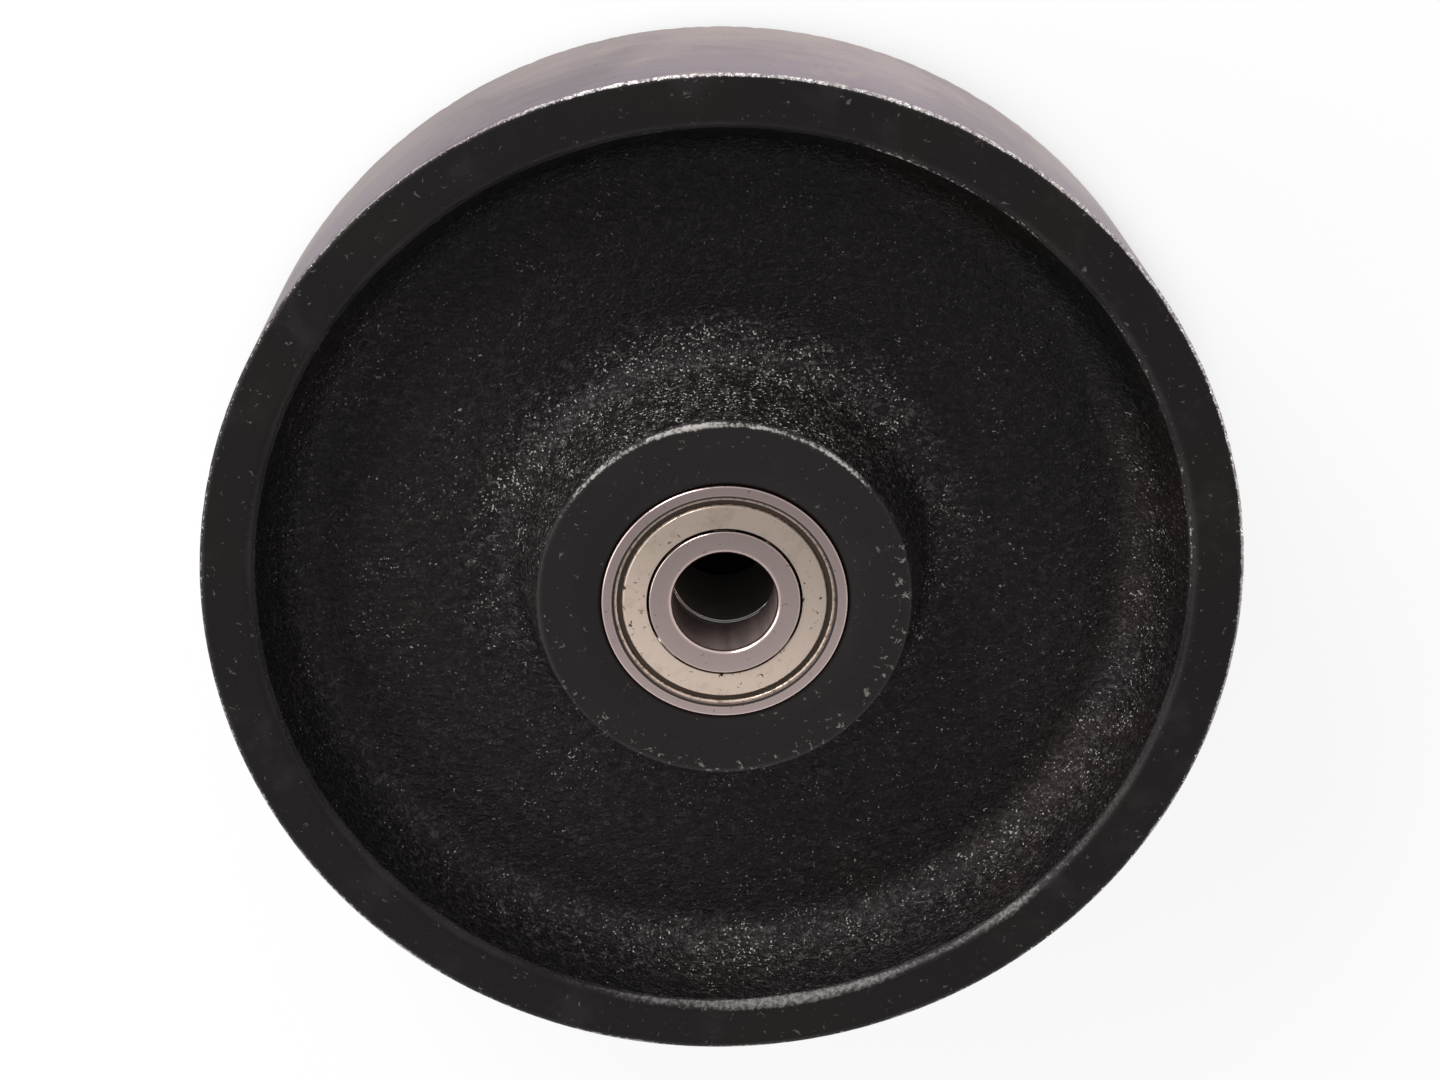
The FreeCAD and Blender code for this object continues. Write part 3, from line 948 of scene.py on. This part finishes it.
def with_groove(rows, shoulder, centre, radius):
    """Rows with the ball groove cut into the run at the shoulder's radius."""
    side = 1 if shoulder > centre else -1
    reach = math.acos(abs(shoulder - centre) / radius)
    steps = 18
    arc = []
    for step in range(steps + 1):
        angle = reach * (1 - 2 * step / steps)
        arc.append(Row(centre + side * radius * math.cos(angle), radius * math.sin(angle), 0.0, 0.0, 0.0))
    half_width = radius * math.sin(reach)

    def on_shoulder(row):
        return abs(row.radius - shoulder) < 1e-6

    kept = [row for row in rows if not on_shoulder(row) or abs(row.height) > half_width]
    at = next(i for i, row in enumerate(kept)
              if on_shoulder(row) and on_shoulder(kept[i - 1]) and row.height * kept[i - 1].height < 0)
    if kept[at].height > 0:
        arc.reverse()
    return kept[:at] + arc + kept[at:]


class WHEEL_OT_shields(bpy.types.Operator):
    """Build the pressed sheet shields on both sides of both bearings"""

    bl_idname = "wheel.shields"
    bl_label = "Shields"

    def execute(self, context):
        sheet = SHIELD_SHEET
        inner = INNER_SHOULDER + 0.5 * MM
        outer = OUTER_SHOULDER - sheet / 4
        floor = SHIELD_STEP + sheet
        bead_top = SHIELD_TOP - sheet / 4
        bead_inner = SHIELD_RADIUS - 2 * sheet
        rows = outline_rows([
            Corner(inner, SHIELD_TOP - sheet),
            Corner(outer - sheet, SHIELD_TOP - sheet),
            Corner(outer, SHIELD_STEP),
            Corner(SHIELD_RADIUS, SHIELD_STEP),
            Corner(SHIELD_RADIUS, SHIELD_STEP + 1.5 * sheet),
            Corner(SHIELD_RADIUS - sheet, bead_top, sheet / 2, edge=0.36),
            Corner(bead_inner, bead_top, sheet / 2, edge=0.36),
            Corner(bead_inner - sheet / 2, floor, sheet / 4, edge=0.95),
            Corner(outer + sheet, floor, sheet / 4, edge=0.90),
            Corner(outer, SHIELD_TOP, sheet, edge=0.24),
            Corner(inner, SHIELD_TOP)], MM, 1.2 * MM)
        inboard_rows = [row._replace(height=-row.height) for row in rows]
        for side in SIDES:
            for place, outline in (("outboard", rows), ("inboard", inboard_rows)):
                turned(f"{side}_{place}_shield_pressed", end_for_end(outline, side), SHIELD_STEPS,
                       "shield_sheet", "wheel", f"{side}_{place}_shield")
        return {"FINISHED"}


class WHEEL_OT_sleeve(bpy.types.Operator):
    """Build the loose sleeve between the inner rings"""

    bl_idname = "wheel.sleeve"
    bl_label = "Sleeve"

    def execute(self, context):
        low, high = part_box("spacer_sleeve")
        wall, depth, chamfer, land = 2.9 * MM, 3.6 * MM, 0.3 * MM, 0.32 * MM
        bore = SLEEVE_RADIUS - wall
        rows = outline_rows(both_sides([
            Corner(bore, SLEEVE_TOP - depth, edge=1),
            Corner(bore + land, SLEEVE_TOP - depth + land * math.tan(math.radians(33)), edge=1),
            Corner(bore + depth * math.tan(math.radians(30)), SLEEVE_TOP),
            Corner(SLEEVE_RADIUS - chamfer, SLEEVE_TOP),
            Corner(SLEEVE_RADIUS, SLEEVE_TOP - chamfer)]), MM, 3 * MM, margin=0.1 * MM)
        # Only the front end keeps the painted highlight on its bore's edge
        rows = [row._replace(edge=row.edge if row.height > 0 else 0.0) for row in rows]
        turned("spacer_sleeve_turned", rows, SLEEVE_STEPS, "turned_steel", "axle_sleeve", "spacer_sleeve",
               sharp=20, move=Matrix.Translation(((low.x + high.x) / 2, 0, 0)))
        return {"FINISHED"}


# ---------------------------------------------------------------- cages and balls

def rivet_ring_tree():
    """Rivets set at even angles halfway between the balls."""
    tree, given, made = new_group(
        "Rivet Ring", "GeometryNodeTree",
        {"Rivet": "Geometry", "Count": "Int", "Ring Radius": "Float", "Height": "Float",
         "Material": "Material"}, ("Rivets",), "Geometry")
    circle = field(tree, "GeometryNodeMeshCircle",
                   {"Vertices": given["Count"], "Radius": given["Ring Radius"]})
    placed = field(tree, "GeometryNodeTransform", {
        "Geometry": circle, "Translation": joined(tree, Z=given["Height"]),
        "Rotation": joined(tree, Z=math.pi / given["Count"])})
    copies = {"Points": placed, "Instance": given["Rivet"]}
    feed(made, {0: real_copies(tree, copies, given["Material"])})
    return tree


def plain_mesh(name, work):
    """A smooth-shaded mesh from a working one, which is then freed."""
    mesh = bpy.data.meshes.new(name)
    for face in work.faces:
        face.smooth = True
    work.to_mesh(mesh)
    work.free()
    return mesh


def spun_mesh(name, outline, steps):
    """A closed mesh from an open outline whose two ends lie on Z."""
    work = bmesh.new()
    points = [work.verts.new((radius, 0.0, height)) for radius, height in outline]
    for first, second in zip(points, points[1:]):
        work.edges.new((first, second))
    bmesh.ops.spin(work, geom=work.verts[:] + work.edges[:], cent=(0, 0, 0), axis=(0, 0, 1),
                   angle=TURN, steps=steps, use_merge=True)
    bmesh.ops.remove_doubles(work, verts=work.verts, dist=0.001 * MM)
    bmesh.ops.recalc_face_normals(work, faces=work.faces)
    return plain_mesh(name, work)


class WHEEL_OT_cages(bpy.types.Operator):
    """Finish the ribbon cages and set their rivets"""

    bl_idname = "wheel.cages"
    bl_label = "Cages and rivets"

    def execute(self, context):
        make_materials()
        shank, head, rise = 0.6 * MM, 1.1 * MM, 0.5 * MM
        dome = [(head * math.cos(math.radians(a)), CAGE_SHEET + rise * math.sin(math.radians(a)))
                for a in range(0, 90, 15)]
        outline = [(0.0, CAGE_SHEET + rise)] + dome[::-1] + [(shank, CAGE_SHEET), (shank, -CAGE_SHEET)]
        outline += [(radius, -height) for radius, height in dome] + [(0.0, -CAGE_SHEET - rise)]
        for side in SIDES:
            sign = 1 if side == "front" else -1
            rivets = grown(f"{side}_cage_rivets_set", spun_mesh("rivet", outline, RIVET_STEPS),
                           tree_named("Rivet Ring", rivet_ring_tree),
                           {"Count": BALL_COUNT, "Ring Radius": PITCH_RADIUS,
                            "Height": sign * BEARING_MIDDLE, "Material": MATERIALS["cage_sheet"]})
            rivets.data.set_sharp_from_angle(angle=math.radians(40))
            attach(rivets, f"{side}_cage")
            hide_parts(f"{side}_cage_rivets")
            for half in ("outboard", "inboard"):
                dress(f"{side}_cage_{half}_half", "cage_sheet")
        return {"FINISHED"}


def dress(node, slot):
    """Gives a node of the frame its finish, and leaves its shape alone."""
    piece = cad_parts[node]
    piece.data.materials.clear()
    piece.data.materials.append(MATERIALS[slot])


class WHEEL_OT_balls(bpy.types.Operator):
    """Build the polished balls of both bearings"""

    bl_idname = "wheel.balls"
    bl_label = "Balls"

    def execute(self, context):
        make_materials()
        for side in SIDES:
            for number in range(1, BALL_COUNT + 1):
                node = f"{side}_ball_{number}"
                low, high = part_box(node)
                work = bmesh.new()
                bmesh.ops.create_icosphere(work, subdivisions=4, radius=BALL_RADIUS,
                                           matrix=Matrix.Translation((low + high) / 2))
                mesh = plain_mesh(f"{node}_polished", work)
                mesh.materials.append(MATERIALS["ball_steel"])
                ball = new_object(mesh.name, mesh)
                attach(ball, node)
                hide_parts(node)
        return {"FINISHED"}


# ---------------------------------------------------------------- stage

def camera_rays(tree):
    """One where a ray comes straight, mirrored or refracted from the camera, and zero elsewhere."""
    path = outputs_of(tree.nodes.new("ShaderNodeLightPath"))
    seen = maths("MAXIMUM", path["Is Camera Ray"], path["Is Glossy Ray"])
    return maths("MAXIMUM", seen, path["Is Transmission Ray"])


def pale_floor():
    """A plain pale floor under the wheel's rear bearing, which keeps the wheel's shadow."""
    mesh = bpy.data.meshes.new("floor")
    half = 2.5
    level = CAD_BOUNDS[0][2]
    corners = ((-half, -half), (half, -half), (half, half), (-half, half))
    mesh.from_pydata([(x, y, level) for x, y in corners], [], [(0, 1, 2, 3)])
    material, tree, shader = new_material("pale_floor")
    feed(shader, {"Base Color": (0.90, 0.90, 0.90, 1.0), "Roughness": 0.9, "Specular IOR Level": 0.1})
    x, y, _ = parts(object_place(tree))
    clear = from_axis(x, y).ramp(0.80 * TREAD_RADIUS, 1.12 * TREAD_RADIUS, 0.0, 0.84)
    feed(tree.nodes["Material Output"], {"Surface": field(tree, "ShaderNodeMixShader", {
        0: camera_rays(tree) * clear, 1: Field(shader.outputs[0]), 2: field(tree, "ShaderNodeEmission")})})
    mesh.materials.append(material)
    new_object("floor", mesh)


def lamp(name, place, size, power):
    """A square soft lamp that points at the wheel's centre."""
    data = bpy.data.lights.new(name, "AREA")
    data.energy = power
    data.size = size
    light = new_object(name, data)
    light.location = place
    light.rotation_euler = Vector(place).to_track_quat("Z", "Y").to_euler()


def surroundings(strength):
    """A studio that is white around its walls and dims towards the top."""
    world = bpy.data.worlds.new("studio")
    bpy.context.scene.world = world
    world.use_nodes = True
    tree = world.node_tree
    upward = parts(field(tree, "ShaderNodeTexCoord", output="Generated"))[2]
    feed(tree.nodes["Background"], {"Color": (1.0, 1.0, 1.0, 1.0),
                                    "Strength": upward.ramp(0.30, 1.0, 1.0, strength)})


def place_camera(stage):
    """A camera tilted away from the wheel's axis, with the picture's up along +Y."""
    tilt, turn = stage.camera_tilt, stage.camera_turn
    lean = Vector((-math.sin(turn), math.cos(turn), 0))
    across = Vector((math.cos(turn), math.sin(turn), 0))
    back = math.sin(tilt) * lean + Vector((0, 0, math.cos(tilt)))
    rise = math.cos(tilt) * lean - Vector((0, 0, math.sin(tilt)))
    right = lean.x * rise + across.x * across
    up = lean.y * rise + across.y * across
    data = bpy.data.cameras.new("camera")
    data.lens = stage.lens
    data.sensor_width = 36.0
    data.clip_start = 0.01
    camera = new_object("camera", data)
    aim = -0.17 * MM * right + 1.53 * MM * up
    turned_to = Matrix((right, up, back)).transposed()
    camera.matrix_world = Matrix.Translation(back * stage.camera_distance + aim) @ turned_to.to_4x4()
    bpy.context.scene.camera = camera


class WHEEL_OT_stage(bpy.types.Operator):
    """Set the floor, lamps, surroundings and camera"""

    bl_idname = "wheel.stage"
    bl_label = "Stage"

    def execute(self, context):
        stage = context.scene.wheel_stage
        pale_floor()
        lamp("key_lamp", (-0.56, 0.86, 0.50), 0.55, stage.key_power)
        lamp("fill_lamp", (-1.00, 0.10, 0.55), 0.7, stage.fill_power)
        surroundings(stage.ambient)
        place_camera(stage)
        context.scene.view_settings.view_transform = "Standard"
        return {"FINISHED"}


class WHEEL_PT_panel(bpy.types.Panel):
    """Lists the wheel's pieces and sizes in the sidebar"""

    bl_idname = "WHEEL_PT_panel"
    bl_label = "Transport Wheel"
    bl_space_type = "VIEW_3D"
    bl_region_type = "UI"
    bl_category = "Wheel"

    def draw(self, context):
        for label, settings in SETTINGS.items():
            box = self.layout.box()
            for name in settings.__annotations__:
                box.prop(getattr(context.scene, label), name)
        for operator in OPERATORS:
            self.layout.operator(operator.bl_idname)


OPERATORS = (WHEEL_OT_casting, WHEEL_OT_edge_crumbs, WHEEL_OT_rings, WHEEL_OT_shields, WHEEL_OT_sleeve,
             WHEEL_OT_cages, WHEEL_OT_balls, WHEEL_OT_stage)
CLASSES = (WheelSizes, WheelColours, WheelStage, *OPERATORS, WHEEL_PT_panel)


SETTINGS = {"wheel_sizes": WheelSizes, "wheel_colours": WheelColours, "wheel_stage": WheelStage}


def register():
    for cls in CLASSES:
        bpy.utils.register_class(cls)
    for name, settings in SETTINGS.items():
        setattr(bpy.types.Scene, name, PointerProperty(type=settings))


def unregister():
    for name in SETTINGS:
        delattr(bpy.types.Scene, name)
    for cls in reversed(CLASSES):
        bpy.utils.unregister_class(cls)


def main():
    register()
    bpy.ops.wheel.casting()
    bpy.ops.wheel.edge_crumbs()
    bpy.ops.wheel.rings()
    bpy.ops.wheel.shields()
    bpy.ops.wheel.sleeve()
    bpy.ops.wheel.cages()
    bpy.ops.wheel.balls()
    bpy.ops.wheel.stage()


if __name__ == "__main__":
    main()
